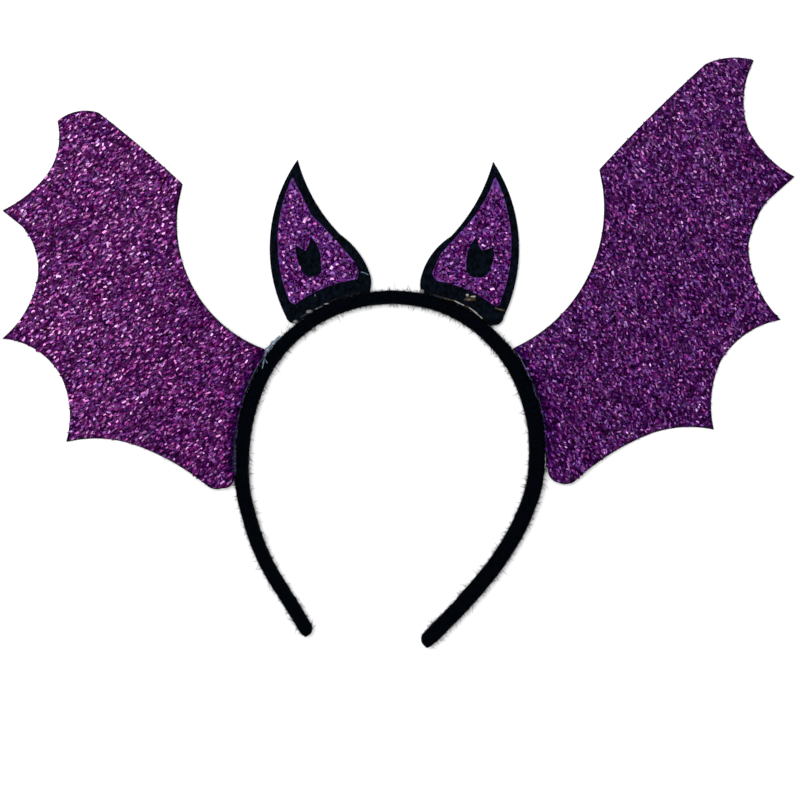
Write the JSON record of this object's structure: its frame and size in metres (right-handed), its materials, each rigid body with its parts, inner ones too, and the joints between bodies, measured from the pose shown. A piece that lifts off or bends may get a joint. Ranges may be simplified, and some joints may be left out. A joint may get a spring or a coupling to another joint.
{
  "type": "bat headband",
  "caption": "Costume headband: a velvet hoop with glitter bat wings and felt ears with glitter insets, glued to its outer face.",
  "frame": {"origin": "middle of the bounding box's footprint, on the surface that the headband lies on", "axes": "+X from the left wing to the right wing as seen from the front, +Y from the open end of the hoop to its crown, +Z out of the front"},
  "size_m": [0.3308, 0.246, 0.01],
  "materials": {
    "velvet": "black short-pile velvet over a stiff core",
    "black_felt": "matt black felt sheet",
    "wing_glitter": "purple sheet with dense metallic glitter flecks",
    "ear_glitter": "purple foam sheet with coarse glitter",
    "glue": "translucent hot-melt glue"
  },
  "bodies": {
    "root": {"hoop": "velvet", "left_wing_felt": "black_felt", "left_wing_glitter": "wing_glitter", "left_wing_glue": "glue", "right_wing_felt": "black_felt", "right_wing_glitter": "wing_glitter", "right_wing_glue": "glue", "left_ear_felt": "black_felt", "left_ear_glitter": "ear_glitter", "left_ear_glue": "glue", "right_ear_felt": "black_felt", "right_ear_glitter": "ear_glitter", "right_ear_glue": "glue"}
  },
  "joints": []
}
